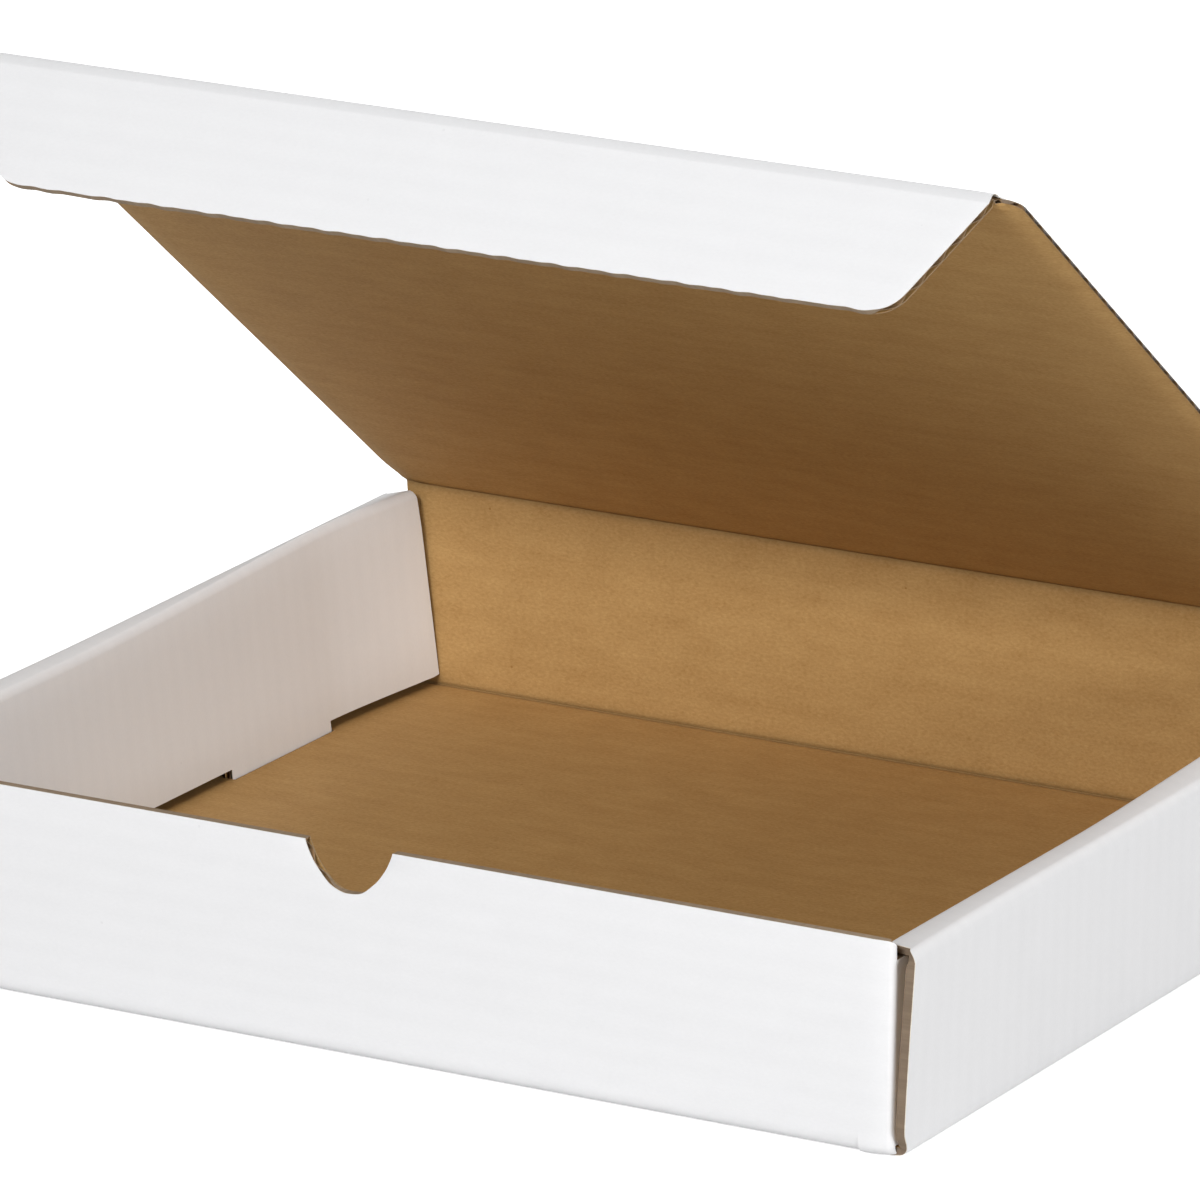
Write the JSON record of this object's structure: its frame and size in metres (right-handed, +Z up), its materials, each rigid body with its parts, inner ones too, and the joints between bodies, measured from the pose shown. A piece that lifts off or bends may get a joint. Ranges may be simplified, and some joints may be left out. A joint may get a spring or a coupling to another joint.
{
  "type": "literature mailer",
  "caption": "Flat corrugated mailer folded from a sheet, with rolled side walls, a thumb notch in the front wall and a hinged lid whose tuck flap closes inside the front wall.",
  "frame": {"origin": "middle of the tray's underside, which is also the middle of the open mailer's box in plan", "axes": "+X to the right along the front wall, +Y from the front wall to the hinge, +Z up from the base"},
  "size_m": [0.3132, 0.288, 0.2281],
  "materials": {
    "white_liner": "matt white-lined corrugated board",
    "kraft_liner": "matt brown kraft liner and fluting"
  },
  "bodies": {
    "tray": {"tray": "white_liner"},
    "lid": {"lid": "white_liner"},
    "tuck_flap": {"tuck_flap": "white_liner"}
  },
  "joints": [
    {"name": "lid_hinge", "type": "hinge", "parent": "tray", "child": "lid", "pos_m": [0, 0.14255, 0.06], "axis": [-1, 0, 0], "range_deg": [-37, 143.4]},
    {"name": "flap_hinge", "type": "hinge", "parent": "lid", "child": "tuck_flap", "pos_m": [0, -0.08191, 0.2267], "axis": [1, 0, 0], "range_deg": [-90, 20]}
  ]
}
